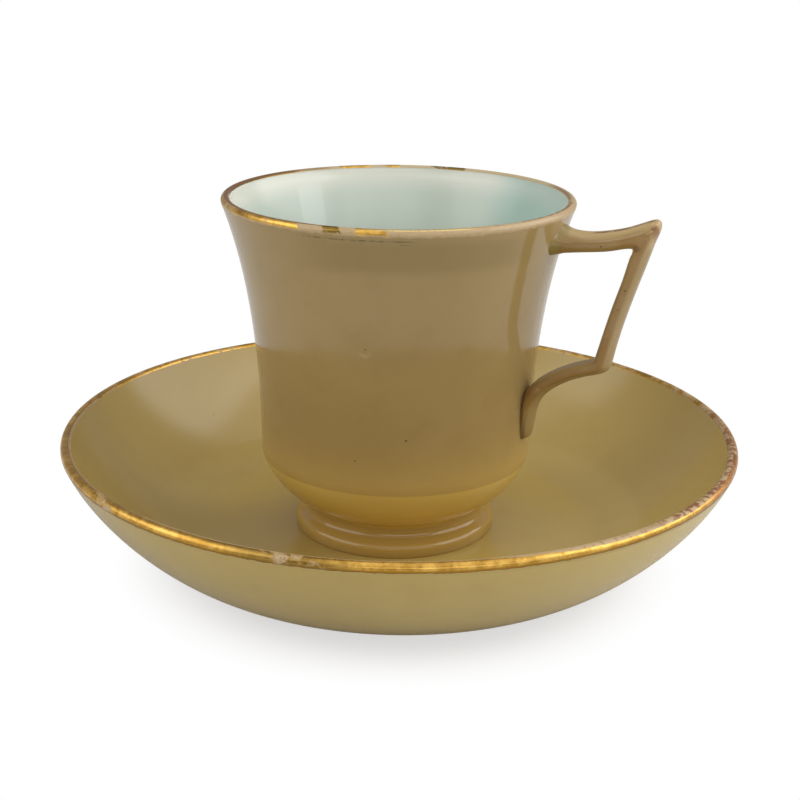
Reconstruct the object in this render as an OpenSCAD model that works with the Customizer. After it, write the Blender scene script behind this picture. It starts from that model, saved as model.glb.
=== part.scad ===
// Small coffee cup on its saucer, in glazed stoneware with gilded rims.
// The cup stands loose on the flat well of the saucer.
// The origin is the middle of the saucer's base on the table, Z is up,
// and the handle points to +X and a little to -Y.

/* [Saucer] */
// Radius of the saucer over the widest line of its lip
saucer_r = 67.5; // [62:0.5:75]
// Height of the widest line of the lip above the table
saucer_lip_z = 26.5; // [22:0.5:30]
// Radius of the round of the saucer's lip
saucer_lip_round = 1.1; // [0.9:0.1:1.4]
// Lean of the saucer's wall from upright where it meets the lip
saucer_lip_lean = 24; // [18:1:30]
// Radius of the flat well that the cup stands in
well_r = 42.8; // [38:0.2:46]
// Height of the well's floor above the table
well_z = 6.7; // [6:0.1:7.6]
// Thickness of the saucer's floor
saucer_floor = 3.4; // [2.8:0.1:3.6]
// Height of the rounded shoulder where the dish leaves the foot ring
saucer_shoulder_z = 1.6; // [1.2:0.1:2]

/* [Saucer foot ring] */
// Outer radius of the ring where it meets the dish
saucer_foot_r = 39.6; // [36:0.2:41]
// How far the ring's outer face leans in towards the table
saucer_foot_lean = 1.2; // [0.6:0.1:1.6]
// Width of the ring where it joins the dish
saucer_foot_w = 4.2; // [3.4:0.1:5]
// How far the ring's inner face leans out towards the table
saucer_foot_bevel = 0.5; // [0.2:0.1:0.8]

/* [Cup] */
// Radius of the cup over the widest line of its lip
cup_r = 34.25; // [32:0.25:37]
// Height of the widest line of the lip above the foot
cup_lip_h = 67.1; // [62:0.5:72]
// Radius of the round of the cup's lip
cup_lip_round = 0.9; // [0.8:0.05:1.1]
// Lean of the cup's wall from upright where it meets the lip
cup_lip_lean = 20; // [14:1:26]
// Radius of the body where the bowl turns into the upright wall
belly_r = 27.24; // [25:0.2:29]
// Height of that turn above the foot
belly_h = 17.8; // [15:0.2:20]
// Thickness of the wall with its glaze
wall_t = 1.9; // [1.7:0.05:2.2]
// Thickness of the flat floor with its glaze
cup_floor = 2.2; // [1.9:0.1:2.8]
// Radius of the flat part of the floor inside
cup_floor_r = 15.5; // [13:0.5:17]
// How far the middle of the cup stands from the middle of the saucer
cup_shift = 0.8; // [0:0.1:2]

/* [Cup foot ring] */
// Outer radius of the foot
foot_r = 20.25; // [19:0.1:21]
// Bevel round the foot's base
foot_base_bevel = 0.2; // [0.1:0.1:0.4]
// Height of the foot's upright side
foot_side_h = 2.2; // [1.8:0.1:2.6]
// Radius of the round at the foot's upper edge
foot_edge_round = 0.6; // [0.4:0.1:0.8]
// Radius of the small bead above the foot
foot_bead_r = 18.4; // [18:0.1:19]
// Height of the bead
foot_bead_h = 1; // [0.8:0.1:1.4]
// Radius of the narrow neck under the bowl
foot_neck_r = 17.6; // [17:0.1:18]
// Radius at the top of the foot, where the bowl begins
foot_top_r = 18; // [17.6:0.1:18.6]
// Height of the whole foot
foot_h = 5.8; // [5.4:0.1:6.4]
// Inner radius of the foot at its base
foot_inner_r = 17; // [15.5:0.1:17.5]
// Inner radius of the foot at its top
foot_inner_top_r = 15; // [13:0.1:16]

/* [Glaze and gilding] */
// Thickness of the coloured glaze that lines the cup
lining_t = 0.3; // [0.2:0.05:0.4]
// Thickness of the gilding on both rims
gilding_t = 0.15; // [0.1:0.05:0.25]
// Where the gilding ends on the inner side of the lips, from level
gilding_inner_angle = 150; // [130:5:160]
// How far the saucer's gilding runs down the wall below the lip
saucer_gilding_drop = 0.7; // [0.4:0.1:1.2]
// How far the cup's gilding runs down the wall below the lip
cup_gilding_drop = 0.25; // [0.15:0.05:0.8]
// How far the lining runs straight down from the cup's inner gilding
lining_drop = 0.3; // [0.2:0.1:0.5]

/* [Handle] */
// Turn of the handle about the cup from +X towards -Y
handle_turn = 22.5; // [0:0.5:45]
// How far the handle's tip reaches beyond the widest line of the lip
handle_reach = 17.65; // [15:0.05:21]
// How far the handle's tip stands above the widest line of the lip
handle_tip_over = 0.65; // [-1:0.05:1.5]
// Height of the handle's tail end above the foot
handle_tail_h = 22.1; // [19:0.1:25]
// How far outside the belly the outline of the tail begins
handle_sit = 0.16; // [0.1:0.02:0.3]
// Depth of the handle where it springs from the rim
root_t = 8.8; // [8:0.1:9.6]
// Depth of the upper arm
arm_t = 4; // [3.4:0.1:4.8]
// Depth across the corner at the tip
tip_t = 7.5; // [6.8:0.1:8.2]
// Depth of the long post
post_t = 3.05; // [2.6:0.05:3.6]
// Depth across the lower corner
corner_t = 3.4; // [3:0.1:3.8]
// Depth of the lower arm
lower_arm_t = 2.9; // [2.5:0.1:3.4]
// Depth of the tail that lies along the wall
tail_t = 3.4; // [3:0.1:3.8]
// Depth of the tail at its blunt end
tail_end_t = 2.1; // [1.8:0.1:2.6]
// Width of the handle where it springs from the rim
root_w = 15; // [12:0.5:17]
// Width of the upper arm and the post
handle_w = 5.8; // [5:0.1:6.6]
// Width of the foot of the lower arm against the wall
lower_root_w = 6.4; // [5.6:0.1:7]
// Width of the tail at its blunt end
tail_w = 3.4; // [3:0.1:4.4]

/* [Seams of the handle] */
// Thickness of the layer of slip between handle and wall
seam_t = 0.35; // [0.25:0.05:0.5]
// How far the slip stands out all round the joint
seam_out = 0.7; // [0.4:0.1:0.9]

/* [Smoothness] */
// Facets in each round
$fn = 96; // [48:24:144]
// Steps along each long curve
curve_steps = 22; // [14:2:32]
// Steps along each small round
round_steps = 7; // [5:1:10]

/* [Hidden] */
// colours
buff = [0.66, 0.58, 0.41];
duck_egg = [0.72, 0.77, 0.71];
gold = [0.8, 0.64, 0.3];
slip = [0.55, 0.46, 0.31];

// overrun of the cup's round where it is cut away from the handle, where
// the cup stands, and the height that parts the two seams
over = 1;
cup_z = well_z;
seam_split_h = (belly_h + cup_lip_h) / 2;

// where the round of the foot's bead turns into the neck, from level
bead_end_angle = 60;

// the slanted line that the handle's outline is measured from: it runs
// from the tail's seat on the belly up to the lip
handle_start_r = belly_r + handle_sit;
handle_rise = cup_lip_h + handle_tip_over - handle_tail_h;
handle_slant = cup_r - handle_start_r;

// inner control points of each long curve, as shares of its run and rise
saucer_outer_shares = [[0.383, 0.072], [0.838, 0.578]];
saucer_inner_shares = [[0.296, 0.064], [0.792, 0.52]];
bowl_outer_shares = [[0.42, 0.131], [1, 0.608]];
bowl_inner_shares = [[0.5, 0], [1, 0.58]];
wall_outer_shares = [[0, 0.314], [0.187, 0.685]];

// the handle's outer edge from the rim to the tail: share of the reach
// beyond the slanted line, share of the rise, and the way across the
// handle in degrees
handle_edge_shares = [
    [-0.015, 0.959, -134], [0.054, 0.942, -132], [0.115, 0.93, -131],
    [0.196, 0.924, -129], [0.276, 0.924, -118], [0.365, 0.929, -101],
    [0.519, 0.94, -96], [0.65, 0.954, -98], [0.756, 0.972, -108],
    [0.862, 0.99, -117], [0.926, 1, -122], [0.974, 0.995, -128],
    [1.004, 0.975, -133], [0.996, 0.944, -138], [0.973, 0.909, -144],
    [0.954, 0.863, -152], [0.928, 0.797, -166], [0.897, 0.732, -178],
    [0.864, 0.651, -188], [0.833, 0.57, -191], [0.812, 0.493, -191],
    [0.801, 0.44, -192], [0.796, 0.394, -200], [0.792, 0.369, -207],
    [0.777, 0.349, -215], [0.731, 0.335, -225], [0.653, 0.324, -234],
    [0.536, 0.311, -241], [0.388, 0.286, -241], [0.238, 0.248, -235],
    [0.132, 0.207, -224], [0.083, 0.158, -211], [0.078, 0.105, -198],
    [0.084, 0.055, -188], [0.08, 0.02, -181], [0.045, 0, -180]
];

// half of the handle's section, from its outer ridge over a bevel to the
// side and the inner face: share of the half width, share of the depth
handle_section_shares = [
    [0, 0], [0.12, 0.01], [0.5, 0.2], [0.88, 0.38], [0.97, 0.43], [1, 0.5],
    [1, 0.84], [0.96, 0.95], [0.86, 1], [0, 1]
];

// depth and width of the handle at numbered places along its edge
handle_depths = [
    [0, root_t], [4.6, arm_t], [7, arm_t], [11, tip_t], [12, tip_t],
    [17, post_t], [21, post_t], [24, corner_t], [27, lower_arm_t],
    [28, lower_arm_t], [31, tail_t], [34, post_t], [35, tail_end_t]
];
handle_widths = [
    [0, root_w], [2, (root_w + handle_w) / 2], [4.5, handle_w],
    [28, handle_w], [30, lower_root_w], [31.5, handle_w], [35, tail_w]
];

// a point at share t of a cubic curve through four control points
function on_curve(p, t) =
    p[0] * pow(1 - t, 3) + p[1] * 3 * t * pow(1 - t, 2)
    + p[2] * 3 * t * t * (1 - t) + p[3] * pow(t, 3);

// a point that lies at the given shares of the way between two corners
function between(a, b, share) =
    [a.x + (b.x - a.x) * share.x, a.y + (b.y - a.y) * share.y];

// a curve between two points, bent by its two inner control points
function sweep(a, b, shares) = [
    for (i = [0:curve_steps])
        on_curve([a, between(a, b, shares[0]), between(a, b, shares[1]), b],
            i / curve_steps)
];

// an arc about a centre
function arc(c, r, from, to) = [
    for (i = [0:round_steps])
        c + r * [cos(from + (to - from) * i / round_steps),
            sin(from + (to - from) * i / round_steps)]
];

// a line of points moved sideways by d, to the left of its direction
function moved(line, d) = [
    for (i = [0:len(line) - 1])
        let (
            a = line[max(i - 1, 0)],
            b = line[min(i + 1, len(line) - 1)],
            way = (b - a) / norm(b - a)
        )
        line[i] + d * [-way.y, way.x]
];

function backwards(line) = [for (i = [len(line) - 1:-1:0]) line[i]];

// saucer outline
saucer_lip = [saucer_r - saucer_lip_round, saucer_lip_z];
saucer_down = -[sin(saucer_lip_lean), cos(saucer_lip_lean)];
saucer_arc_start = saucer_lip
    + saucer_lip_round * [cos(saucer_lip_lean), -sin(saucer_lip_lean)];
saucer_gilding_end = saucer_arc_start + saucer_gilding_drop * saucer_down;
saucer_outside = sweep([saucer_foot_r, saucer_shoulder_z],
    saucer_gilding_end, saucer_outer_shares);
saucer_inside = sweep([well_r, well_z],
    saucer_lip + saucer_lip_round
        * [cos(gilding_inner_angle), sin(gilding_inner_angle)],
    saucer_inner_shares);

// cup outline, with heights measured from its foot
cup_lip = [cup_r - cup_lip_round, cup_lip_h];
cup_down = -[sin(cup_lip_lean), cos(cup_lip_lean)];
cup_arc_start = cup_lip
    + cup_lip_round * [cos(cup_lip_lean), -sin(cup_lip_lean)];
cup_gilding_end = cup_arc_start + cup_gilding_drop * cup_down;
belly = [belly_r, belly_h];
cup_wall_outside = sweep(belly, cup_gilding_end, wall_outer_shares);
cup_outside = concat(
    sweep([foot_top_r, foot_h], belly, bowl_outer_shares),
    [for (i = [1:curve_steps]) cup_wall_outside[i]]
);
cup_inner_floor = [cup_floor_r, foot_h + cup_floor];
cup_inner_wall = moved(cup_wall_outside, wall_t);
cup_lip_inside = cup_lip + cup_lip_round
    * [cos(gilding_inner_angle), sin(gilding_inner_angle)];
cup_inside = concat(
    sweep(cup_inner_floor, cup_inner_wall[0], bowl_inner_shares),
    [for (i = [1:curve_steps - 1]) cup_inner_wall[i]],
    [cup_lip_inside - [0, lining_drop], cup_lip_inside]
);
cup_under_lining = concat(
    [for (i = [0:len(cup_inside) - 2]) moved(cup_inside, -lining_t)[i]],
    [cup_lip + (cup_lip_round - lining_t)
        * [cos(gilding_inner_angle), sin(gilding_inner_angle)]]
);

// the gilding over a lip: its outer line, then back along its inner line
module gilding(lip, r, start, end, way) {
    polygon(concat(
        [start],
        arc(lip, r, way, gilding_inner_angle),
        backwards(arc(lip, r - gilding_t, way, gilding_inner_angle)),
        [start - gilding_t * [cos(way), sin(way)]]
    ));
}

// the handle's ring of points number i, in the plane of the handle
function handle_ring(i, out) =
    let (
        e = handle_edge_shares[i],
        t = lookup(i, handle_depths),
        half = lookup(i, handle_widths) / 2,
        across = [cos(e.z), sin(e.z)],
        edge = [handle_start_r + handle_slant * e.y + handle_reach * e.x,
            handle_tail_h + handle_rise * e.y],
        n = len(handle_section_shares)
    )
    [
        for (k = [0:2 * n - 3])
            let (
                side = k < n ? 1 : -1,
                s = handle_section_shares[k < n ? k : 2 * n - 2 - k],
                deep = s.y * (t + 2 * out) - out,
                p = edge + across * deep
            )
            [p.x, side * s.x * (half + out), p.y]
    ];

module handle_sweep(out) {
    rings = len(handle_edge_shares);
    sides = 2 * len(handle_section_shares) - 2;
    points = [for (i = [0:rings - 1]) each handle_ring(i, out)];
    last = (rings - 1) * sides;
    faces = concat(
        [[for (k = [0:sides - 1]) k]],
        [[for (k = [sides - 1:-1:0]) last + k]],
        [
            for (i = [0:rings - 2], k = [0:sides - 1])
                let (a = i * sides + k, b = i * sides + (k + 1) % sides)
                each [[a, a + sides, b], [b, a + sides, b + sides]]
        ]
    );
    polyhedron(points, faces);
}

// the whole cup as one solid round, grown outwards by a thickness
module cup_round(out) {
    rotate_extrude()
        polygon(concat(
            [[0, foot_h], [foot_top_r, foot_h]],
            moved(cup_outside, -out),
            [cup_arc_start + out * [cos(cup_lip_lean), -sin(cup_lip_lean)]],
            [[cup_r + out, cup_lip_h], [cup_r + out, cup_lip_h + over]],
            [[0, cup_lip_h + over]]
        ));
}

module on_saucer() {
    translate([-cup_shift, 0, cup_z])
        children();
}

module turned_handle() {
    on_saucer()
        rotate([0, 0, -handle_turn])
            children();
}

module saucer_dish() {
    color(buff)
        rotate_extrude()
            polygon(concat(
                [[0, well_z - saucer_floor]],
                [[saucer_foot_r, well_z - saucer_floor]],
                saucer_outside,
                [saucer_gilding_end
                    - gilding_t * [cos(saucer_lip_lean), -sin(saucer_lip_lean)]],
                arc(saucer_lip, saucer_lip_round - gilding_t,
                    -saucer_lip_lean, gilding_inner_angle),
                backwards(saucer_inside),
                [[0, well_z]]
            ));
}

module saucer_foot_ring() {
    inner_r = saucer_foot_r - saucer_foot_w;
    color(buff)
        rotate_extrude()
            polygon([
                [inner_r + saucer_foot_bevel, 0],
                [saucer_foot_r - saucer_foot_lean, 0],
                [saucer_foot_r, saucer_shoulder_z],
                [saucer_foot_r, well_z - saucer_floor],
                [inner_r, well_z - saucer_floor]
            ]);
}

module saucer_rim_gilding() {
    color(gold)
        rotate_extrude()
            gilding(saucer_lip, saucer_lip_round, saucer_gilding_end,
                saucer_arc_start, -saucer_lip_lean);
}

module cup_body() {
    color(buff)
        on_saucer()
            rotate_extrude()
                polygon(concat(
                    [[0, foot_h]],
                    cup_outside,
                    [cup_gilding_end
                        - gilding_t * [cos(cup_lip_lean), -sin(cup_lip_lean)]],
                    arc(cup_lip, cup_lip_round - gilding_t,
                        -cup_lip_lean, gilding_inner_angle),
                    backwards(cup_under_lining),
                    [[0, foot_h + cup_floor - lining_t]]
                ));
}

module cup_lining() {
    color(duck_egg)
        on_saucer()
            rotate_extrude()
                polygon(concat(
                    [[0, foot_h + cup_floor - lining_t]],
                    cup_under_lining,
                    backwards(cup_inside),
                    [[0, foot_h + cup_floor]]
                ));
}

module cup_foot() {
    edge = [foot_r - foot_edge_round, foot_side_h];
    bead = [foot_bead_r - foot_bead_h / 2,
        foot_side_h + foot_edge_round + foot_bead_h];
    neck_h = (bead.y + foot_bead_h / 2 + foot_h) / 2;
    color(buff)
        on_saucer()
            rotate_extrude()
                polygon(concat(
                    [[foot_inner_r, 0], [foot_r - foot_base_bevel, 0]],
                    [[foot_r, foot_base_bevel]],
                    arc(edge, foot_edge_round, 0, 90),
                    arc(bead, foot_bead_h / 2, -90, bead_end_angle),
                    [[foot_neck_r, neck_h]],
                    [[foot_top_r, foot_h], [foot_inner_top_r, foot_h]]
                ));
}

module cup_rim_gilding() {
    color(gold)
        on_saucer()
            rotate_extrude()
                gilding(cup_lip, cup_lip_round, cup_gilding_end,
                    cup_arc_start, -cup_lip_lean);
}

module cup_handle() {
    color(buff)
        turned_handle()
            difference() {
                handle_sweep(0);
                cup_round(seam_t);
            }
}

// the slip in the joint between low and high
module seam(low, high) {
    color(slip)
        turned_handle()
            intersection() {
                handle_sweep(seam_out);
                difference() {
                    cup_round(seam_t);
                    cup_round(0);
                }
                translate([0, -root_w, low])
                    cube([cup_r + handle_reach, root_w * 2, high - low]);
            }
}

module handle_upper_seam() {
    seam(seam_split_h, cup_gilding_end.y);
}

module handle_lower_seam() {
    seam(foot_h, seam_split_h);
}

saucer_dish();
saucer_foot_ring();
saucer_rim_gilding();
cup_body();
cup_lining();
cup_foot();
cup_rim_gilding();
cup_handle();
handle_upper_seam();
handle_lower_seam();
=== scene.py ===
import bpy
import math
from mathutils import Matrix, Vector


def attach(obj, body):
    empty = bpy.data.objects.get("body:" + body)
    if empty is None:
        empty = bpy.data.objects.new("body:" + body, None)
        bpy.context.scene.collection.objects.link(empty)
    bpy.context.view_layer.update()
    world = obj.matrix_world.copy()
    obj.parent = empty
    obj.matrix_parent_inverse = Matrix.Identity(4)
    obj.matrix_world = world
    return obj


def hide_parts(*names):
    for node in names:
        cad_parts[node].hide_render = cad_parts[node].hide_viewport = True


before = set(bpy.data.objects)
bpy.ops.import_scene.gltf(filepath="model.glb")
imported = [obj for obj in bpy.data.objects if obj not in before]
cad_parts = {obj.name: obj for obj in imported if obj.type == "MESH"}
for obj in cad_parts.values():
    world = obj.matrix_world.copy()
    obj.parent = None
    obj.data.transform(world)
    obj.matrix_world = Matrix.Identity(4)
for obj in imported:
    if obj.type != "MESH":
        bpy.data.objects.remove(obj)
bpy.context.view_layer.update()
mm = 0.001

# how finely the pieces are meshed: weld in metres, reach in mm, smooth angles in degrees
mesh = {"turnSteps": 192, "coreSteps": 120, "lipSteps": 12, "weld": 0.000002, "reach": 0.01,
        "spunSmooth": 38, "cutSmooth": 50, "subdivisions": 2}

print("frame loaded")

# camera, from the rims, the well and the foot in the photograph
camera = {"place": (0.0, -278.37, 126.58), "pitch": 18.655, "roll": 0.825, "lens": 65.28,
          "sensor": 36, "clip": 0.01}


def makeCamera(c):
    bpy.ops.object.camera_add()
    eye = bpy.context.object
    eye.data.lens = c["lens"]
    eye.data.sensor_width = c["sensor"]
    eye.data.clip_start = c["clip"]
    down = math.radians(c["pitch"])
    roll = math.radians(c["roll"])
    ahead = Vector((0, math.cos(down), -math.sin(down)))
    side = Vector((1, 0, 0))
    above = side.cross(ahead)
    right = side * math.cos(roll) + above * math.sin(roll)
    up = above * math.cos(roll) - side * math.sin(roll)
    eye.matrix_world = Matrix((right, up, -ahead)).transposed().to_4x4()
    eye.location = [v * mm for v in c["place"]]
    bpy.context.scene.camera = eye


makeCamera(camera)
scene = bpy.context.scene
scene.view_settings.view_transform = "Standard"


# shader maths
class Wire:
    def __init__(self, graph, socket):
        self.graph = graph
        self.socket = socket

    def __add__(self, other): return self.graph.maths("ADD", self, other)
    def __radd__(self, other): return self.graph.maths("ADD", other, self)
    def __sub__(self, other): return self.graph.maths("SUBTRACT", self, other)
    def __rsub__(self, other): return self.graph.maths("SUBTRACT", other, self)
    def __mul__(self, other): return self.graph.maths("MULTIPLY", self, other)
    def __rmul__(self, other): return self.graph.maths("MULTIPLY", other, self)
    def __truediv__(self, other): return self.graph.maths("DIVIDE", self, other)
    def __gt__(self, other): return self.graph.maths("GREATER_THAN", self, other)


class Graph:
    def __init__(self, owner):
        owner.use_nodes = True
        self.tree = owner.node_tree
        self.tree.nodes.clear()

    def node(self, kind, settings=None, inputs=None):
        made = self.tree.nodes.new(kind)
        for key, value in (settings or {}).items():
            if key == "stops":
                ramp = made.color_ramp
                ramp.elements[0].position, ramp.elements[1].position = value[0][0], value[-1][0]
                for at, level in value[1:-1]:
                    ramp.elements.new(at)
                for mark, (at, level) in zip(ramp.elements, value):
                    mark.color = (level, level, level, 1)
            else:
                setattr(made, key, value)
        for key, value in (inputs or {}).items():
            if isinstance(value, Wire):
                self.tree.links.new(value.socket, made.inputs[key])
            elif isinstance(value, bpy.types.NodeSocket):
                self.tree.links.new(value, made.inputs[key])
            else:
                made.inputs[key].default_value = value
        return made

    def maths(self, operation, a, b=0.0):
        made = self.node("ShaderNodeMath", {"operation": operation}, {0: a, 1: b})
        return Wire(self, made.outputs[0])

    def clamp(self, value):
        return self.maths("MINIMUM", self.maths("MAXIMUM", value, 0.0), 1.0)

    def step(self, value, low, high):
        made = self.node("ShaderNodeMapRange", {"interpolation_type": "SMOOTHSTEP"},
                         {"Value": value, "From Min": low, "From Max": high,
                          "To Min": 0.0, "To Max": 1.0})
        return Wire(self, made.outputs["Result"])

    def window(self, value, low, high, soft):
        rise = self.step(value, low - soft, low + soft)
        return rise * (1 - self.step(value, high - soft, high + soft))

    def blend(self, amount, a, b):
        colours = {slot: value + (1,) if isinstance(value, tuple) else value
                   for slot, value in ((6, a), (7, b))}
        made = self.node("ShaderNodeMix", {"data_type": "RGBA"}, {0: amount, **colours})
        return Wire(self, made.outputs[2])


# a material whose x, y and z are millimetres on the object
class Finish(Graph):
    def __init__(self, name):
        self.material = bpy.data.materials.new(name)
        super().__init__(self.material)
        self.place = Wire(self, self.node("ShaderNodeTexCoord").outputs["Object"])
        parts = self.node("ShaderNodeSeparateXYZ", inputs={0: self.place}).outputs
        self.x, self.y, self.z = [Wire(self, parts[k]) / mm for k in range(3)]

    def noise(self, scale, detail=3.0, rough=0.55, warp=0.0):
        made = self.node("ShaderNodeTexNoise", None,
                         {"Vector": self.place, "Scale": scale, "Detail": detail,
                          "Roughness": rough, "Distortion": warp})
        return Wire(self, made.outputs[0])

    # a soft round mark, solid over the inner third of its size
    def spot(self, x, y, z, size, stretch=(1, 1, 1), solid=0.35):
        gap = [(v - c) * (1 / (size * s))
               for v, c, s in zip((self.x, self.y, self.z), (x, y, z), stretch)]
        far = self.maths("SQRT", gap[0] * gap[0] + gap[1] * gap[1] + gap[2] * gap[2])
        return 1 - self.step(far, solid, 1.0)

    def spots(self, places):
        total = self.spot(*places[0])
        for place in places[1:]:
            total = total + self.spot(*place)
        return total

    # degrees round the piece, 0 at the front and growing to the right
    def turn(self, centreX=0.0):
        return self.maths("ARCTAN2", self.x - centreX, 0 - self.y) * (180 / math.pi)

    def out(self, centreX=0.0):
        across = self.x - centreX
        return self.maths("SQRT", across * across + self.y * self.y)

    def around(self, angle, stops):
        spread = [((at + 180) / 360, level) for at, level in stops]
        made = self.node("ShaderNodeValToRGB", {"stops": spread}, {0: (angle + 180) / 360})
        return Wire(self, made.outputs[0])

    def finish(self, colour, rough, height, bump, **more):
        relief = self.node("ShaderNodeBump", None,
                           {"Height": height, "Strength": 1.0, "Distance": bump * mm})
        shader = self.node("ShaderNodeBsdfPrincipled", None,
                           {"Base Color": colour, "Roughness": rough,
                            "Normal": relief.outputs[0], **more})
        self.node("ShaderNodeOutputMaterial", None, {"Surface": shader.outputs[0]})
        return self.material


# outlines, as distance from the axis and height
def along(a, b, shares, steps):
    corners = [a] + [(a[0] + (b[0] - a[0]) * s[0], a[1] + (b[1] - a[1]) * s[1])
                     for s in shares] + [b]
    line = []
    for i in range(steps + 1):
        t = i / steps
        w = ((1 - t) ** 3, 3 * t * (1 - t) ** 2, 3 * t * t * (1 - t), t ** 3)
        line.append(tuple(sum(w[k] * corners[k][n] for k in range(4)) for n in (0, 1)))
    return line


def lipPoint(centre, radius, angle):
    a = math.radians(angle)
    return centre[0] + radius * math.cos(a), centre[1] + radius * math.sin(a)


def roundLip(centre, radius, start, end, steps=mesh["lipSteps"]):
    return [lipPoint(centre, radius, start + (end - start) * i / steps)
            for i in range(steps + 1)]


def shifted(line, by):
    moved = []
    for i, (r, z) in enumerate(line):
        a, b = line[max(i - 1, 0)], line[min(i + 1, len(line) - 1)]
        size = math.hypot(b[0] - a[0], b[1] - a[1])
        moved.append((r - by * (b[1] - a[1]) / size, z + by * (b[0] - a[0]) / size))
    return moved


# the lip of either piece: where its gold ends, the seat the gold lies in, and the gold itself
def lipLines(s):
    lip = (s["radius"] - s["lipRound"], s["lipHeight"])
    lean = math.radians(s["lipLean"])
    out = (math.cos(lean), -math.sin(lean))
    start = (lip[0] + s["lipRound"] * out[0], lip[1] + s["lipRound"] * out[1])
    end = (start[0] - s["goldDrop"] * math.sin(lean), start[1] - s["goldDrop"] * math.cos(lean))
    let = (end[0] - s["gold"] * out[0], end[1] - s["gold"] * out[1])
    seat = roundLip(lip, s["lipRound"] - s["gold"], -s["lipLean"], s["goldInner"])
    over = roundLip(lip, s["lipRound"], -s["lipLean"], s["goldInner"])
    return {"lip": lip, "end": end, "inner": lipPoint(lip, s["lipRound"], s["goldInner"]),
            "seat": [let] + seat, "goldLine": [end] + over + seat[::-1] + [let, end]}


def deselect():
    for thing in bpy.context.selected_objects:
        thing.select_set(False)


def spun(name, outline, centreX=0.0, lift=0.0, steps=mesh["turnSteps"]):
    deselect()
    r, z = outline[0]
    bpy.ops.mesh.primitive_plane_add(size=mm)
    piece = bpy.context.object
    piece.name = name
    bpy.ops.object.mode_set(mode="EDIT")
    bpy.ops.mesh.select_all(action="SELECT")
    bpy.ops.mesh.merge(type="CENTER")
    bpy.ops.transform.translate(value=((r + centreX) * mm, 0, (z + lift) * mm))
    for (a, b), (c, d) in zip(outline, outline[1:]):
        step = ((c - a) * mm, 0, (d - b) * mm)
        bpy.ops.mesh.extrude_vertices_move(TRANSFORM_OT_translate={"value": step})
    bpy.ops.mesh.select_all(action="SELECT")
    bpy.ops.mesh.spin(steps=steps, angle=2 * math.pi, center=(centreX * mm, 0, 0), axis=(0, 0, 1))
    bpy.ops.mesh.select_all(action="SELECT")
    bpy.ops.mesh.remove_doubles(threshold=mesh["weld"])
    bpy.ops.mesh.normals_make_consistent(inside=False)
    bpy.ops.object.mode_set(mode="OBJECT")
    bpy.ops.object.shade_smooth_by_angle(angle=math.radians(mesh["spunSmooth"]))
    return piece


def stands(piece, node, body, material):
    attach(piece, body)
    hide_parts(node)
    piece.data.materials.clear()
    piece.data.materials.append(material)


# saucer
saucer = {
    "radius": 67.5, "lipHeight": 26.5, "lipRound": 1.1, "lipLean": 24,
    "gold": 0.15, "goldInner": 150, "goldDrop": 0.7,
    "wellRadius": 42.8, "wellHeight": 6.7, "wellSoft": 6.5, "wellRings": (28, 15, 0),
    "floor": 3.4, "shoulder": 1.6, "outside": [(0.383, 0.072), (0.838, 0.578)],
    "inside": [(0.296, 0.064), (0.792, 0.52)], "wallSteps": 40, "wellSteps": 14,
    "footRadius": 39.6, "footLean": 1.2, "footWidth": 4.2, "footBevel": 0.5,
    "footEdge": [(-0.3, 0), (0.05, 0.25)], "footInner": (0.1, 0.4),
}


def makeSaucer(s):
    n = lipLines(s)
    r, w, well = s["footRadius"], s["footWidth"], s["wellHeight"]
    under = well - s["floor"]
    outside = along((r, s["shoulder"]), n["end"], s["outside"], s["wallSteps"])
    inside = along((s["wellRadius"], well), n["inner"], s["inside"], s["wallSteps"])
    # the well turns softly into the wall
    wall = [p for p in inside if p[0] > s["wellRadius"] + s["wellSoft"]]
    a, b, c = (s["wellRadius"] - s["wellSoft"], well), (s["wellRadius"], well), wall[0]
    turn = [tuple(a[k] * (1 - t) ** 2 + 2 * b[k] * t * (1 - t) + c[k] * t * t for k in (0, 1))
            for t in [i / s["wellSteps"] for i in range(s["wellSteps"])]]
    rings = [(ring, well) for ring in s["wellRings"]]
    dish = spun("saucerDish", [(0, under), (r, under)] + outside + n["seat"] + wall[::-1]
                + turn[::-1] + rings)
    base = [(r - w + s["footBevel"], 0)]
    base += [(r - s["footLean"] + across, up) for across, up in s["footEdge"]]
    ring = [(r, s["shoulder"]), (r, under), (r - w, under)]
    ring += [(r - w + s["footInner"][0], s["footInner"][1])]
    foot = spun("saucerFootRing", base + ring + base[:1])
    gold = spun("saucerGilding", n["goldLine"])
    return dish, foot, gold


dish, saucerFoot, saucerGold = makeSaucer(saucer)
print("saucer made")

# cup; its foot stands on the saucer's well, a little to the left of the middle
cup = {
    "shift": -0.8, "stand": 6.7, "radius": 34.25, "lipHeight": 67.1, "lipRound": 0.9, "lipLean": 20,
    "gold": 0.15, "goldInner": 150, "goldDrop": 0.25, "lining": 0.3, "liningDrop": 0.3,
    "bellyRadius": 27.24, "bellyHeight": 17.8, "wall": 1.9, "floor": 2.2, "floorRadius": 15.5,
    "floorRing": 8, "footHeight": 5.8, "topRadius": 18.0,
    "bowl": [(0.42, 0.131), (1, 0.608)], "bowlInside": [(0.5, 0), (1, 0.58)],
    "wallCurve": [(0, 0.314), (0.187, 0.685)], "wallSteps": 44, "bowlSteps": 26, "insideSteps": 24,
}


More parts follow.
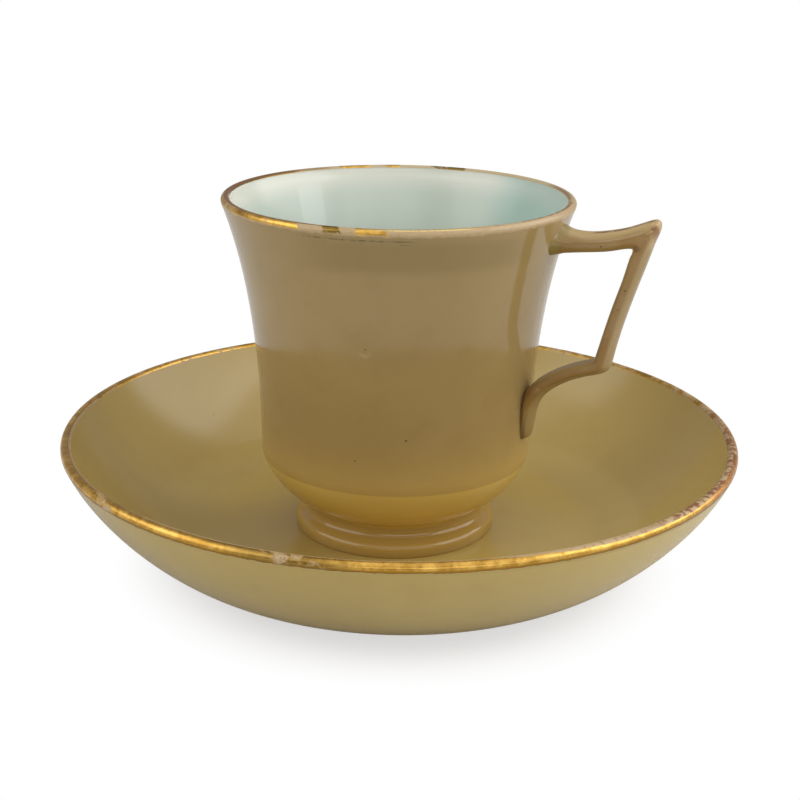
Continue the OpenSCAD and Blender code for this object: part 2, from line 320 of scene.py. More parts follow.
def cupLines(c):
    n = lipLines(c)
    inner = n["inner"]
    foot = (c["topRadius"], c["footHeight"])
    belly = (c["bellyRadius"], c["bellyHeight"])
    low = (c["floorRadius"], c["footHeight"] + c["floor"])
    wall = along(belly, n["end"], c["wallCurve"], c["wallSteps"])
    innerWall = shifted(wall, c["wall"])
    inside = along(low, innerWall[0], c["bowlInside"], c["insideSteps"])
    inside += innerWall[1:-1] + [(inner[0], inner[1] - c["liningDrop"]), inner]
    n["outside"] = along(foot, belly, c["bowl"], c["bowlSteps"]) + wall[1:]
    n["inside"] = inside
    n["under"] = shifted(inside, -c["lining"])[:-1]
    n["under"] += [lipPoint(n["lip"], c["lipRound"] - c["lining"], c["goldInner"])]
    return n


def makeCup(c):
    n = cupLines(c)
    low = c["footHeight"] + c["floor"]
    bed = (0, low - c["lining"])
    place = (c["shift"], c["stand"])
    body = spun("cupBody", [(0, c["footHeight"])] + n["outside"] + n["seat"]
                + n["under"][::-1] + [bed], *place)
    lining = spun("cupLining", [bed] + n["under"] + n["inside"][::-1]
                  + [(c["floorRing"], low), (0, low)], *place)
    gold = spun("cupGilding", n["goldLine"], *place)
    return body, lining, gold


cupBody, cupLining, cupGold = makeCup(cup)

# base gives how far in from the foot's radius, cove how far out from its neck, each with a height
cupFoot = {
    "radius": 20.25, "side": 2.2, "edge": 1.3, "edgeLift": 0.6, "edgeTurn": 70, "edgeSteps": 8,
    "neck": 17.6, "inner": 17.0, "innerTop": 15.0, "base": [(0.35, 0), (0.1, 0.08), (0, 0.3)],
    "cove": [(1.32, 3.0), (0.86, 3.2), (0.5, 3.5), (0.24, 3.95), (0.08, 4.5), (0.02, 5.0),
             (0.12, 5.45)],
}


def makeFoot(f, c):
    edge = (f["radius"] - f["edge"], f["side"] + f["edgeLift"] - f["edge"])
    line = [(f["inner"], 0)] + [(f["radius"] - back, up) for back, up in f["base"]]
    line += roundLip(edge, f["edge"], 0, f["edgeTurn"], f["edgeSteps"])
    line += [(f["neck"] + out, up) for out, up in f["cove"]]
    line += [(c["topRadius"], c["footHeight"]), (f["innerTop"], c["footHeight"]), (f["inner"], 0)]
    return spun("cupFoot", line, c["shift"], c["stand"])


cupFootPiece = makeFoot(cupFoot, cup)
print("cup made")

# handle: each row is the outer edge's distance from the cup's axis, its height above the
# foot, the way across the handle in degrees, the depth and the width; sink is how deep its
# ends are let into the wall, and the wall that cuts them starts at the height cutFrom
handle = {
    "turn": -22.5, "bevel": 0.72, "sideRound": 0.26, "innerRound": 0.6, "roundSteps": 3,
    "sink": 0.24, "cutFrom": 12,
    "rows": [
        (32.9, 65.5, -134, 8.6, 13.6), (33.9, 64.9, -133, 7.8, 11.2), (34.9, 64.5, -132, 6.9, 8.8),
        (36.4, 64.25, -128, 5.6, 6.8), (38.4, 64.25, -118, 4.5, 5.9), (40.2, 64.45, -101, 3.9, 5.8),
        (43.0, 65.0, -96, 4.0, 5.8), (45.4, 65.65, -98, 4.0, 5.8), (47.4, 66.45, -108, 4.8, 5.8),
        (49.4, 67.3, -117, 6.0, 5.8), (50.6, 67.75, -122, 7.1, 5.8), (51.4, 67.5, -128, 7.6, 5.8),
        (51.8, 66.6, -133, 7.4, 5.8), (51.45, 65.2, -138, 6.6, 5.8), (50.8, 63.6, -144, 5.5, 5.8),
        (50.15, 61.5, -152, 4.6, 5.8), (49.25, 58.5, -166, 3.7, 5.8), (48.25, 55.5, -178, 3.15, 5.8),
        (47.1, 51.8, -188, 3.05, 5.8), (46.0, 48.1, -191, 3.0, 5.8), (45.1, 44.6, -191, 3.0, 5.8),
        (44.55, 42.2, -192, 3.05, 5.8), (44.15, 40.1, -200, 3.2, 5.8), (43.9, 38.95, -207, 3.3, 5.8),
        (43.5, 38.05, -215, 3.45, 5.8), (42.6, 37.4, -225, 3.3, 5.8), (41.15, 36.9, -234, 3.0, 5.8),
        (39.0, 36.3, -241, 2.9, 5.8), (36.2, 35.15, -241, 2.9, 5.8), (33.3, 33.4, -235, 3.1, 6.0),
        (31.15, 31.55, -224, 3.3, 6.4), (29.95, 29.3, -211, 3.5, 5.9), (29.5, 26.9, -198, 3.3, 5.2),
        (29.25, 24.6, -188, 3.0, 4.5), (28.95, 23.0, -181, 2.7, 3.9), (28.2, 22.1, -180, 2.1, 3.3),
    ],
}


def ringPlace(row):
    s, h, across, depth, width = row
    half = depth / 2
    a = math.radians(across)
    middle = (s + half * math.cos(a), h + half * math.sin(a))
    return middle, -math.radians(across + 90), depth, width


def volume(piece):
    total = 0.0
    for face in piece.data.polygons:
        corners = [piece.data.vertices[i].co for i in face.vertices]
        total += sum(corners[0].dot(a.cross(b)) for a, b in zip(corners[1:], corners[2:]))
    return total / 6


def swept(name, rows, h, c):
    deselect()
    bpy.ops.mesh.primitive_plane_add(size=2 * mm, rotation=(math.pi / 2, 0, math.pi / 2))
    piece = bpy.context.object
    piece.name = name
    bpy.ops.object.transform_apply(location=False, rotation=True, scale=False)
    bpy.ops.object.mode_set(mode="EDIT")
    bpy.ops.mesh.select_mode(type="VERT")
    # the section: two corners bevelled and rounded, the other two rounded
    cuts = ((1, h["bevel"], 1), (1 - h["bevel"], h["sideRound"], h["roundSteps"]),
            (-1, h["innerRound"], h["roundSteps"]))
    for level, amount, pieces in cuts:
        bpy.ops.mesh.select_all(action="DESELECT")
        bpy.ops.object.mode_set(mode="OBJECT")
        for v in piece.data.vertices:
            v.select = abs(v.co.z - level * mm) < mesh["reach"] * mm
        bpy.ops.object.mode_set(mode="EDIT")
        bpy.ops.mesh.bevel(affect="VERTICES", offset=amount * mm, segments=pieces)
    bpy.ops.mesh.select_all(action="SELECT")
    bpy.ops.mesh.delete(type="ONLY_FACE")
    bpy.ops.mesh.select_all(action="SELECT")
    last = (0.0, 0.0, 0.0, 2.0, 2.0)  # the section's place, tilt, depth and width so far
    for number, row in enumerate(rows):
        (s, z), tilt, depth, width = ringPlace(row)
        step = [v * mm for v in (s - last[0], 0, z - last[1])]
        if number:
            bpy.ops.mesh.extrude_region_move(TRANSFORM_OT_translate={"value": step})
        else:
            bpy.ops.transform.translate(value=step)
        middle = (s * mm, 0, z * mm)
        grow = (1, width / last[4], depth / last[3])
        bpy.ops.transform.rotate(value=last[2], orient_axis="Y", center_override=middle)
        bpy.ops.transform.resize(value=grow, center_override=middle)
        bpy.ops.transform.rotate(value=-tilt, orient_axis="Y", center_override=middle)
        last = (s, z, tilt, depth, width)
    bpy.ops.mesh.edge_face_add()
    bpy.ops.mesh.select_all(action="DESELECT")
    bpy.ops.mesh.select_non_manifold()
    bpy.ops.mesh.edge_face_add()
    bpy.ops.mesh.select_all(action="SELECT")
    bpy.ops.mesh.remove_doubles(threshold=mesh["weld"])
    bpy.ops.mesh.normals_make_consistent(inside=False)
    bpy.ops.transform.rotate(value=-math.radians(h["turn"]), orient_axis="Z",
                             center_override=(0, 0, 0))
    bpy.ops.transform.translate(value=(c["shift"] * mm, 0, c["stand"] * mm))
    bpy.ops.object.mode_set(mode="OBJECT")
    if volume(piece) < 0:
        bpy.ops.object.mode_set(mode="EDIT")
        bpy.ops.mesh.flip_normals()
        bpy.ops.object.mode_set(mode="OBJECT")
    smooth = piece.modifiers.new("smooth", "SUBSURF")
    smooth.levels = smooth.render_levels = mesh["subdivisions"]
    bpy.ops.object.modifier_apply(modifier=smooth.name)
    return piece


# cuts the piece to the cup's wall, sink deep under its outside
def fitToWall(piece, h, c, sink):
    n = cupLines(c)
    r, top = n["lip"]
    floor = h["cutFrom"]
    wall = [q for q in shifted(n["outside"], sink) if q[1] > floor][::2]
    outline = [(0, floor), (wall[0][0], floor)] + wall + [(r, top), (0, top)]
    core = spun("wallCore", outline, c["shift"], c["stand"], mesh["coreSteps"])
    deselect()
    piece.select_set(True)
    bpy.context.view_layer.objects.active = piece
    cut = piece.modifiers.new("cut", "BOOLEAN")
    cut.operation, cut.object, cut.solver = "DIFFERENCE", core, "EXACT"
    bpy.ops.object.modifier_apply(modifier=cut.name)
    bpy.data.objects.remove(core)
    # many-sided faces at the cut are split here, so that the exported mesh stays closed
    bpy.ops.object.mode_set(mode="EDIT")
    bpy.ops.mesh.select_mode(type="FACE")
    bpy.ops.mesh.select_all(action="DESELECT")
    bpy.ops.mesh.select_face_by_sides(number=4, type="GREATER")
    bpy.ops.mesh.quads_convert_to_tris(quad_method="BEAUTY", ngon_method="BEAUTY")
    bpy.ops.mesh.select_mode(type="VERT")
    bpy.ops.object.mode_set(mode="OBJECT")
    bpy.ops.object.shade_smooth_by_angle(angle=math.radians(mesh["cutSmooth"]))
    return piece


def makeStrap(name, rows, sink):
    return fitToWall(swept(name, rows, handle, cup), handle, cup, sink)


cupHandle = makeStrap("cupHandle", handle["rows"], handle["sink"])

# the glaze that pools round the two joints of the handle, in rows as the handle's
joint = {
    "sink": 0.2,
    "upper": [(32.4, 65.6, -134, 9.0, 14.4), (33.2, 65.1, -134, 8.6, 13.4),
              (33.9, 64.6, -133, 7.8, 11.6), (34.6, 64.2, -132, 6.9, 9.6),
              (35.4, 63.85, -130, 5.9, 7.8), (36.3, 63.5, -127, 4.7, 5.8),
              (37.2, 63.1, -122, 3.2, 3.8)],
    "lower": [(32.9, 33.2, -229, 2.9, 6.0), (31.0, 31.6, -222, 2.8, 6.9),
              (29.5, 29.4, -211, 2.6, 6.6), (28.75, 26.9, -198, 2.4, 5.9),
              (28.4, 24.6, -188, 2.2, 5.2), (28.1, 23.0, -181, 2.0, 4.5),
              (27.8, 21.8, -180, 1.6, 3.6)],
}
upperSeam = makeStrap("handleUpperSeam", joint["upper"], joint["sink"])
lowerSeam = makeStrap("handleLowerSeam", joint["lower"], joint["sink"])
print("handle made")

# finishes: places are mm, angles degrees, colours linear red, green and blue;
# clouds gives the scale, detail, roughness and warp of a glaze's slow change of colour
glaze = {"shine": 1.5, "bump": 0.05, "speck": (0.07, 0.035, 0.015)}


def specks(f, scale, size, seed, share):
    moved = f.node("ShaderNodeMapping", None,
                   {"Vector": f.place, "Location": (seed, seed * 0.7, seed * 0.3)})
    cells = f.node("ShaderNodeTexVoronoi", None, {"Vector": moved.outputs[0], "Scale": scale})
    tint = f.node("ShaderNodeSeparateColor", None, {0: cells.outputs["Color"]})
    far = Wire(f, cells.outputs["Distance"])
    return (1 - f.step(far, size * 0.4, size)) * (Wire(f, tint.outputs[0]) > share)


def glazeBase(name, g):
    f = Finish(name)
    cloud = f.noise(*g["clouds"])
    return f, cloud, f.blend(f.step(cloud, 0.3, g["cloudEnd"]), g["low"], g["high"])


def glazeSkin(f, cloud):
    ripple = f.noise(110, 2, 0.45)
    grain = f.noise(1500, 2, 0.6)
    return ripple * 0.8 + grain * 0.04 + cloud * 0.5


saucerTints = {
    "low": (0.44, 0.315, 0.090), "high": (0.475, 0.345, 0.102), "clouds": (24, 4, 0.5, 0.3),
    "cloudEnd": 0.72, "mottle": (0.36, 0.22, 0.05), "wellLine": (0.4, 0.26, 0.07),
    "paintedCupShadow": (0.30, 0.20, 0.05), "paintedRightLight": (0.66, 0.50, 0.18),
    "paintedBackShade": (0.34, 0.23, 0.05),
}


def saucerGlaze(g):
    f, cloud, colour = glazeBase("saucerGlaze", g)
    mottle = f.step(f.noise(150, 3, 0.6), 0.45, 0.8)
    colour = f.blend(mottle * 0.16, colour, g["mottle"])
    edge = saucer["wellRadius"]
    wellLine = f.window(f.out(), edge - 1.5, edge + 1.5, 1.8) * (f.z > 5)
    colour = f.blend(wellLine * 0.08, colour, g["wellLine"])
    colour = f.blend(specks(f, 210, 0.06, 0.3, 0.92) * 0.75, colour, glaze["speck"])
    # painted shadow of the cup on the well, to the left of and in front of its foot
    paintedCupShadow = f.spot(-30, -14, 8, 38, (1, 0.75, 1)) * (f.z > 4)
    colour = f.blend(paintedCupShadow * 0.55, colour, g["paintedCupShadow"])
    # painted light: the right side of the saucer's inside is made lighter
    paintedRightLight = f.step(f.x, 8, 55) * f.step(f.z, 5, 9)
    colour = f.blend(paintedRightLight * 0.3, colour, g["paintedRightLight"])
    # painted shade on the back left of the saucer's inside
    colour = f.blend(f.spot(-40, 34, 22, 34) * 0.4, colour, g["paintedBackShade"])
    scuff = f.step(f.noise(90, 5, 0.7, 1.2), 0.6, 0.75)
    rough = 0.17 + cloud * 0.06 + scuff * 0.04
    return f.finish(colour, rough, glazeSkin(f, cloud), glaze["bump"], IOR=glaze["shine"])


cupTints = {
    "low": (0.32, 0.222, 0.084), "high": (0.353, 0.246, 0.097), "clouds": (34, 4, 0.5, 0.4),
    "cloudEnd": 0.72, "mottle": (0.23, 0.13, 0.035), "lipLine": (0.10, 0.07, 0.02),
    "paintedLipShade": (0.21, 0.15, 0.035), "mark": (0.42, 0.33, 0.14), "paintedSaucerBounce": (0.59, 0.38, 0.078),
    "paintedSaucerReflection": (0.78, 0.56, 0.12), "footShade": (0.28, 0.155, 0.045),
    "pits": [(1.22, -27.33, 33.87, 0.3), (-8.21, -26.25, 29.35, 0.24), (-6.4, -28.4, 51.6, 0.22),
             (4.6, -29.2, 57.5, 0.22), (1.0, -29.0, 55.2, 0.2), (-13, -30.6, 66, 0.22)],
}


def cupGlaze(g):
    f, cloud, colour = glazeBase("cupGlaze", g)
    mottle = f.step(f.noise(170, 3, 0.6), 0.45, 0.8)
    colour = f.blend(mottle * 0.14, colour, g["mottle"])
    angle = f.turn(cup["shift"])
    height = f.z
    broken = f.step(f.noise(900, 3, 0.6), 0.4, 0.6)
    patchy = f.step(f.noise(600, 3, 0.6), 0.5, 0.6)
    lipLine = f.window(height, 72.5, 72.75, 0.12) * (0.2 + broken * 0.7)
    lipLine = lipLine + f.window(height, 71.95, 72.1, 0.08) * patchy * 0.8
    lipLine = f.clamp(lipLine) * f.window(angle, -30, 4, 4)
    colour = f.blend(lipLine, colour, g["lipLine"])
    # painted shade on the wall just under the lip, at the front
    paintedLipShade = f.window(height, 66.5, 72.3, 1.2) * f.window(angle, -28, 45, 14)
    colour = f.blend(paintedLipShade * 0.4, colour, g["paintedLipShade"])
    pits = f.clamp(f.spots(g["pits"]) + specks(f, 190, 0.05, 0.9, 0.92))
    colour = f.blend(pits * 0.85, colour, glaze["speck"])
    ring = f.spot(-6.4, -28.4, 51.0, 1.5, (1, 1, 0.8))
    mark = ring * (1 - f.spot(-6.4, -28.4, 51.4, 1.15, (1, 1, 0.8)))
    colour = f.blend(mark * 0.35, colour, g["mark"])
    # painted light: the bowl grows lighter and warmer towards the foot, as if lit from the saucer
    # below
    colour = f.blend((1 - f.step(height, 11, 36)) * 0.75, colour, g["paintedSaucerBounce"])
    # painted reflection of the saucer, below a sharp line low on the bowl
    colour = f.blend((1 - f.step(height, 22.3, 22.7)) * 0.38, colour, g["paintedSaucerReflection"])
    colour = f.blend((1 - f.step(height, 11.6, 12.6)) * 0.6, colour, g["footShade"])
    skin = glazeSkin(f, cloud) - pits * 0.5 - mark * 0.2
    rough = 0.06 + cloud * 0.03 + broken * 0.015
    return f.finish(colour, rough, skin, glaze["bump"], IOR=glaze["shine"])


handleTints = {
    "low": cupTints["low"], "high": cupTints["high"], "clouds": (60, 4, 0.55, 0.5),
    "cloudEnd": 0.72, "paintedNearShadeAndStain": (0.27, 0.13, 0.025), "paintedTopLight": (0.62, 0.44, 0.22),
    "paintedLowShade": (0.24, 0.135, 0.035), "worn": (0.10, 0.045, 0.015), "tip": (0.22, 0.08, 0.02),
    "pool": (0.27, 0.205, 0.06), "tail": (0.11, 0.06, 0.02),
    "pits": [(40.86, -20.4, 61.15, 0.24), (39.87, -19.98, 57.43, 0.2),
             (36.27, -18.5, 68.86, 0.24)],
    "chips": [(45.1, -20.9, 72.8, 0.7, (1, 1, 0.5)), (43.9, -20.6, 72.3, 0.4)],
}


def handleGlaze(name, g, poolAndShadeAmount):
    f, cloud, colour = glazeBase(name, g)
    turned = math.radians(handle["turn"])
    out = f.x - cup["shift"]
    reach = out * math.cos(turned) + f.y * math.sin(turned)
    across = f.y * math.cos(turned) - out * math.sin(turned)
    height = f.z - cup["stand"]
    stained = f.step(f.noise(140, 4, 0.6, 0.8), 0.35, 0.7)
    # painted shade on the near side of the handle, streaked with stains
    paintedNearShadeAndStain = (1 - f.step(across, -2.9, -2.2)) * (0.4 + stained * 0.35)
    colour = f.blend(paintedNearShadeAndStain, colour, g["paintedNearShadeAndStain"])
    # painted light on the top of the upper arm
    paintedTopLight = f.step(across, -2.7, -1.4) * f.step(height, 61, 63.5)
    colour = f.blend(paintedTopLight * 0.45, colour, g["paintedTopLight"])
    # painted shade on the lower arm
    colour = f.blend((1 - f.step(height, 40, 47)) * 0.12, colour, g["paintedLowShade"])
    # worn edges
    broken = f.step(f.noise(520, 3, 0.65), 0.4, 0.66)
    farLine = f.window(across, -1.0, -0.45, 0.25) * f.window(reach, 39.5, 50.2, 1.2)
    farLine = farLine * f.step(height, 63, 64.4)
    lowLine = f.window(height - reach * 0.47, 13.6, 15.6, 0.5) * f.window(reach, 31, 43, 1.5)
    crease = f.spot(42.27, -20.98, 69.14, 1.1, (1, 1, 0.8)) * 0.7
    wear = f.clamp(farLine * (0.5 + broken * 0.6) + lowLine * 0.35 + crease)
    colour = f.blend(wear * 0.85, colour, g["worn"])
    tip = f.step(reach + height * 0.4, 75.6, 77.4) * f.step(f.noise(330, 4, 0.6), 0.36, 0.5)
    colour = f.blend(tip * 0.75, colour, g["tip"])
    pits = f.spots(g["pits"])
    for chip in g["chips"]:
        pits = pits + f.spot(*chip) * 0.7
    pits = f.clamp(pits + specks(f, 260, 0.06, 0.4, 0.92))
    colour = f.blend(pits * 0.85, colour, glaze["speck"])
    # glaze that pools at the upper joint, and painted shade in the crease where the tail meets the
    # wall
    wall = f.out(cup["shift"])
    uneven = (f.noise(300, 3, 0.6) - 0.5) * 1.6
    gap = wall - 33.6 - (height - 65.3) * 0.31 + uneven
    root = (1 - f.step(gap, 0.7, 2.0)) * f.step(height, 56, 58.5)
    colour = f.blend(root * poolAndShadeAmount, colour, g["pool"])
    # painted shade in the crease along the tail, next to the wall
    tail = (1 - f.step(wall - 27.4, 0.25, 0.9)) * (1 - f.step(height, 36, 44))
    colour = f.blend(tail * poolAndShadeAmount * 0.75, colour, g["tail"])
    skin = glazeSkin(f, cloud) - pits * 0.6 - wear * 0.2
    rough = 0.07 + cloud * 0.05 + broken * 0.05 + (1 - f.step(height, 40, 50)) * 0.3
    return f.finish(colour, rough, skin, glaze["bump"], IOR=glaze["shine"])


liningTints = {
    "low": (0.52, 0.585, 0.505), "high": (0.56, 0.62, 0.54), "clouds": (30, 3, 0.5, 0.3),
    "cloudEnd": 0.75, "paintedBlueReflection": (0.28, 0.45, 0.40), "paintedLeftShade": (0.36, 0.42, 0.36),
    "pale": (0.68, 0.74, 0.68), "cream": (0.78, 0.75, 0.65), "speck": (0.2, 0.16, 0.1),
    "bump": 0.04,
}


def liningGlaze(g):
    f, cloud, colour = glazeBase("liningGlaze", g)
    angle = f.turn(cup["shift"])
    # painted reflection: a bluer patch on the right of the lining
    paintedBlueReflection = f.window(angle, 84, 138, 9) * (0.55 + cloud * 0.5) * f.step(f.z, 57, 67)
    colour = f.blend(paintedBlueReflection * 0.8, colour, g["paintedBlueReflection"])
    # painted shade on the left of the lining
    colour = f.blend(f.window(angle, -135, -75, 18) * 0.25, colour, g["paintedLeftShade"])
    # painted reflection of a window: a pale upright strip in the lining
    pale = f.window(angle, -148.3, -137.3, 0.8) * f.step(f.z, 50, 62)
    pale = pale * (1 - f.step(f.z, 70.8, 72.6))
    colour = f.blend(pale * 0.4, colour, g["pale"])
    cream = f.step(f.z, 68.5, 73) * (1 - f.clamp(paintedBlueReflection) * 0.8)
    colour = f.blend(cream * 0.6, colour, g["cream"])
    colour = f.blend(specks(f, 200, 0.06, 1.7, 0.9) * 0.5, colour, g["speck"])
    rough = 0.22 + cloud * 0.05
    return f.finish(colour, rough, glazeSkin(f, cloud), g["bump"], IOR=glaze["shine"])


# gilding: each lip is its centre, radius and height; the lists give an amount at angles
# round the rim, and around runs over the lip: 0 its outer side, 90 its top, 180 its inner side
golds = {
    "bright": (0.82, 0.49, 0.11), "dull": (0.50, 0.27, 0.045), "olive": (0.20, 0.13, 0.03),
    "edge": (0.16, 0.06, 0.012), "bared": (0.46, 0.33, 0.17), "rust": (0.22, 0.08, 0.02),
    "deep": (0.34, 0.17, 0.012), "copper": (0.5, 0.2, 0.05), "paintedCrestHighlight": (0.95, 0.74, 0.34),
    "baredDark": (0.36, 0.23, 0.11), "baredFar": (0.50, 0.40, 0.24),
    "saucerLip": (0, 66.4, 26.5), "cupLip": (-0.8, 33.35, 73.8),
    "saucerBump": 0.035, "cupBump": 0.02,
    "saucerOuterWear": [
        (-180, 0.4), (-100, 0.3), (-70, 0.1), (-55, 0.1), (-52, 0.42), (-49, 0.42), (-46, 0.08),
        (-28, 0.12), (-20, 0.2), (-16, 0.4), (-12, 0.4), (-9, 0.12), (14, 0.06), (30, 0.1),
        (46, 0.2), (58, 0.3), (72, 0.38), (90, 0.4), (110, 0.35), (180, 0.4)],
    "saucerInnerWear": [
        (-180, 0.1), (-110, 0.2), (-95, 0.5), (-85, 0.8), (-62, 0.7), (-50, 0.35), (-40, 0.35),
        (-33, 0.7), (-22, 0.85), (-12, 0.8), (4, 0.7), (16, 0.8), (40, 0.85), (60, 0.85),
        (80, 0.8), (100, 0.3), (180, 0.1)],
    "saucerInnerEdge": [
        (-180, 0.8), (-110, 0.72), (-85, 0.66), (-62, 0.62), (-45, 0.54), (-20, 0.5),
        (14, 0.48), (24, 0.3), (32, 0.21), (50, 0.2), (62, 0.3), (74, 0.42), (90, 0.6),
        (120, 0.74), (180, 0.8)],
    "cupGold": [
        (-180, 0.62), (-174, 0.62), (-171, 0.2), (-168, 0.2), (-165, 0.62), (-157, 0.62),
        (-153, 0.2), (-128, 0.72), (-60, 0.5), (-57, 0.84), (-47, 0.86), (-44, 0.4),
        (-42, 0.86), (-33, 0.84), (-30, 0.2), (-24, 0.2), (-22, 0.66), (-18, 0.66), (-16, 0.15),
        (-12, 0.2), (-10, 0.95), (-4.5, 0.95), (-3, 0.2), (60, 0.3), (125, 0.15), (153, 0.15),
        (159, 0.62), (169, 0.62), (172, 0.2), (180, 0.4)],
}


def rimBase(name, lip):
    f = Finish(name)
    centre, radius, height = lip
    around = f.maths("ARCTAN2", f.z - height, f.out(centre) - radius) * (180 / math.pi)
    angle = f.turn(centre) + (f.noise(170, 3, 0.6) - 0.5) * 11 + around * 0.03 - 1.5
    return f, angle, around


def saucerGilding(g):
    f, angle, around = rimBase("saucerGilding", g["saucerLip"])
    streak = f.noise(300, 4, 0.6, 0.4)
    grain = f.noise(1300, 3, 0.6)
    ragged = around + (f.noise(620, 4, 0.7) - 0.5) * 40
    outer = f.around(angle, g["saucerOuterWear"])
    inner = f.around(angle, g["saucerInnerWear"])
    innerEdge = f.around(angle, g["saucerInnerEdge"]) * 180
    gold = f.blend(f.step(streak * 0.7 + grain * 0.3, 0.38, 0.62), g["dull"], g["bright"])
    gold = f.blend(f.window(angle, 54, 100, 6) * 0.8, gold, g["copper"])
    # painted shade: the gold is darker on the lower side of the lip
    gold = f.blend((1 - f.step(around, -12, 12)) * 0.85, gold, g["deep"])
    gold = f.blend(f.window(angle, -25, -9, 4) * 0.6, gold, g["olive"])
    # where the gold is worn through, and the glaze under its lower edge
    wornOut = f.step(streak * 0.5 + grain * 0.25 + outer * 0.75, 0.62, 0.72)
    inside = f.step(around + grain * 16 - 8 - innerEdge, 0, 9)
    wornIn = inside * f.step(streak * 0.5 + grain * 0.25 + inner * 0.7, 0.55, 0.68)
    bare = f.clamp(wornOut + wornIn)
    below = 1 - f.step(ragged, -31, -25)
    topLine = f.window(around - innerEdge, -12, -2, 4) * f.window(angle, -115, -18, 6)
    edgeLine = f.clamp(f.window(ragged, -31, -18, 4) + topLine * (1 - wornIn))
    flecks = f.window(angle, 42, 92, 8) * f.step(f.noise(620, 3, 0.65, 0.4), 0.46, 0.56)
    stained = f.clamp(flecks + f.step(grain, 0.55, 0.62) * 0.5)
    colour = f.blend(bare, gold, f.blend(stained, g["bared"], g["rust"]))
    colour = f.blend(edgeLine * (0.35 + streak * 0.6), colour, g["edge"])
    colour = f.blend(below, colour, saucerTints["low"])
    metal = f.clamp((1 - bare) * (1 - below) * (1 - edgeLine * 0.3)) * 0.92
    rough = (0.2 + grain * 0.22 + bare * 0.1) * (1 - below) + below * 0.14
    skin = grain + streak - bare * 0.4 - below * 0.5
    return f.finish(colour, rough, skin, g["saucerBump"], Metallic=metal)


def cupGilding(g):
    f, angle, around = rimBase("cupGilding", g["cupLip"])
    streak = f.noise(340, 4, 0.6, 0.4)
    grain = f.noise(1500, 3, 0.6)
    kept = f.around(angle, g["cupGold"])
    mask = f.step(streak * 0.6 + grain * 0.35 + kept * 0.75, 0.82, 0.9)
    mask = mask * f.step(around + streak * 50 - 25, -25, 5)
    # painted highlight: pale gold along the crest of the lip at the front, where the gold is also
    # kept
    paintedCrestHighlight = f.window(around, 50, 98, 6) * f.window(angle, -4, 24, 5) * f.step(grain, 0.3, 0.42)
    mask = f.clamp(mask + paintedCrestHighlight)
    # dark lines along the top of the lip
    nearLine = f.window(around, 70, 125, 6) * f.window(angle, -110, -22, 5)
    nearLine = nearLine * (0.7 + streak * 0.7)
    rightLine = f.window(around, 76, 125, 5) * f.window(angle, 24, 84, 8)
    rightLine = rightLine * f.step(streak, 0.42, 0.55)
    farSides = f.clamp(f.window(angle, -150, -88, 8) + f.window(angle, 84, 112, 6))
    farLine = f.window(around, 96, 140, 8) * farSides
    line = f.clamp(nearLine + rightLine * 0.8 + farLine * (0.3 + streak * 0.7))
    gold = f.blend(f.step(streak, 0.35, 0.6), g["dull"], g["bright"])
    tarnish = f.window(angle, -26, -15, 2) + f.window(angle, -140, -88, 8)
    tarnish = tarnish + f.window(angle, 150, 175, 4)
    gold = f.blend(f.clamp(tarnish) * 0.85, gold, g["olive"])
    gold = f.blend(paintedCrestHighlight, gold, g["paintedCrestHighlight"])
    bared = f.blend(f.step(grain, 0.5, 0.62) * 0.35, g["bared"], g["baredDark"])
    far = f.clamp(1 - f.window(angle, -100, 100, 8))
    bared = f.blend(far * 0.6, bared, g["baredFar"])
    colour = f.blend(mask, bared, gold)
    colour = f.blend(f.clamp(line * (1 - paintedCrestHighlight)), colour, g["edge"])
    lowLine = (1 - f.step(around, -30, -12)) * f.step(f.noise(800, 3, 0.6), 0.4, 0.6)
    colour = f.blend(lowLine * 0.5, colour, g["olive"])
    metal = f.clamp(mask * (1 - line))
    skin = grain * 0.7 + streak + mask * 0.5
    return f.finish(colour, 0.22 + grain * 0.2, skin, g["cupBump"], Metallic=metal)


saucerFinish = saucerGlaze(saucerTints)
cupFinish = cupGlaze(cupTints)
handleFinish = handleGlaze("handleGlaze", handleTints, 0.7)
poolAndShadeFinish = handleGlaze("jointGlaze", handleTints, 0.9)
stands(dish, "saucer_dish", "saucer", saucerFinish)
stands(saucerFoot, "saucer_foot_ring", "saucer", saucerFinish)
stands(saucerGold, "saucer_rim_gilding", "saucer", saucerGilding(golds))
stands(cupBody, "cup_body", "cup", cupFinish)
stands(cupLining, "cup_lining", "cup", liningGlaze(liningTints))
stands(cupFootPiece, "cup_foot", "cup", cupFinish)
stands(cupGold, "cup_rim_gilding", "cup", cupGilding(golds))
stands(cupHandle, "cup_handle", "cup", handleFinish)
stands(upperSeam, "handle_upper_seam", "cup", poolAndShadeFinish)
stands(lowerSeam, "handle_lower_seam", "cup", poolAndShadeFinish)
print("finishes made")

# floor and background: floor and seenFloor are greys, fade the two distances in mm between
# which the floor turns white, shadow the share of white inside the first
stage = {"size": 6, "floor": 0.7, "seenFloor": 0.94, "shadow": 0.62, "fade": (41, 60),
         "world": 0.352, "mirror": 0.32}


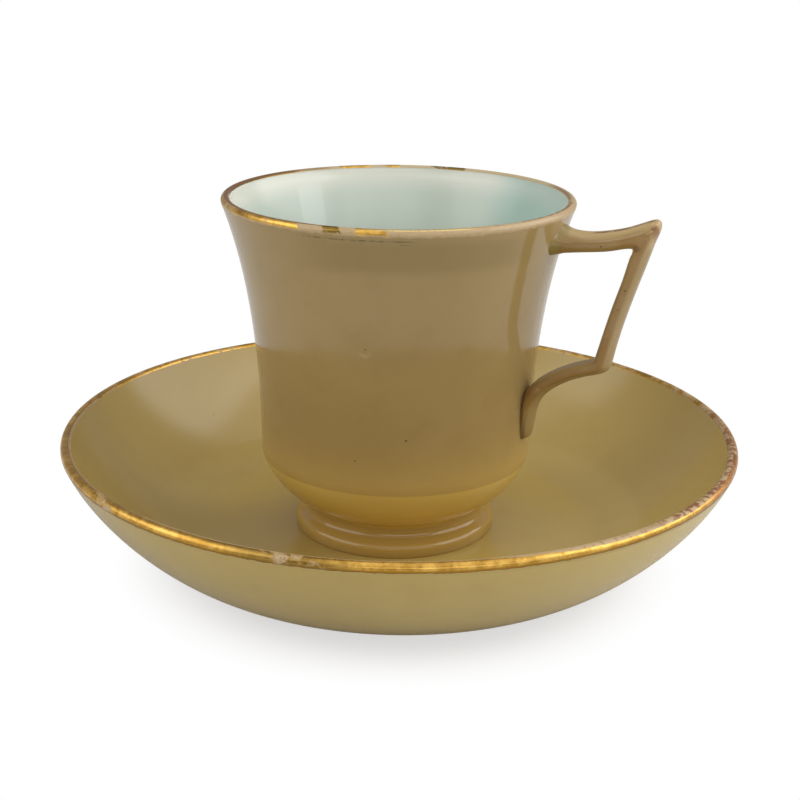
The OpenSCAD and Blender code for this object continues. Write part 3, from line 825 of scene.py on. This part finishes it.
def makeFloor(s):
    deselect()
    bpy.ops.mesh.primitive_plane_add(size=s["size"], location=(0, 0, 0))
    floor = bpy.context.object
    floor.name = "floor"
    f = Finish("paleFloor")
    seen = Wire(f, f.node("ShaderNodeLightPath").outputs["Is Camera Ray"])
    away = f.step(f.out(), *s["fade"])
    tones = [f.node("ShaderNodeBsdfDiffuse", None, {"Color": (s[tone],) * 3 + (1,)})
             for tone in ("floor", "seenFloor")]
    plain = f.node("ShaderNodeMixShader", None,
                   {0: seen, 1: tones[0].outputs[0], 2: tones[1].outputs[0]})
    white = f.node("ShaderNodeEmission", None, {"Color": (1, 1, 1, 1), "Strength": 1.0})
    share = seen * (s["shadow"] + away * (1 - s["shadow"]))
    both = f.node("ShaderNodeMixShader", None, {0: share, 1: plain.outputs[0], 2: white.outputs[0]})
    f.node("ShaderNodeOutputMaterial", None, {"Surface": both.outputs[0]})
    floor.data.materials.append(f.material)


def makeWorld(s):
    world = bpy.data.worlds.new("studio")
    scene.world = world
    sky = Graph(world)
    rays = sky.node("ShaderNodeLightPath").outputs
    lit = sky.node("ShaderNodeMapRange", None,
                   {"Value": rays["Is Glossy Ray"], "To Min": s["world"], "To Max": s["mirror"]})
    level = sky.node("ShaderNodeMapRange", None,
                     {"Value": rays["Is Camera Ray"], "To Min": lit.outputs["Result"],
                      "To Max": 1.0})
    back = sky.node("ShaderNodeBackground", None,
                    {"Color": (1, 1, 1, 1), "Strength": level.outputs["Result"]})
    sky.node("ShaderNodeOutputWorld", None, {"Surface": back.outputs[0]})


# lamps, in metres and watts
lamps = {
    "leftLamp": {"place": (-0.66, -0.2, 0.42), "aim": (0, 0, 0.03),
                 "size": (0.8, 0.6), "power": 2.4},
    "rightLamp": {"place": (0.68, 0.02, 0.4), "aim": (0, 0, 0.03),
                  "size": (0.9, 0.7), "power": 4.4},
    "topLamp": {"place": (0.05, -0.16, 0.78), "aim": (0, 0, 0),
                "size": (1.5, 1.1), "power": 3.4},
    "frontLamp": {"place": (0.22, -0.86, 0.4), "aim": (0, 0, 0.03),
                  "size": (1.1, 0.22), "power": 1.5},
}


def softBox(name, place, aim, size, power):
    bpy.ops.object.light_add(type="AREA", location=place)
    lamp = bpy.context.object
    lamp.name = name
    lamp.data.shape = "RECTANGLE"
    lamp.data.size, lamp.data.size_y = size
    lamp.data.energy = power
    lamp.rotation_euler = (Vector(aim) - Vector(place)).to_track_quat("-Z", "Y").to_euler()


makeFloor(stage)
makeWorld(stage)
for name, lamp in lamps.items():
    softBox(name, **lamp)
print("stage made")
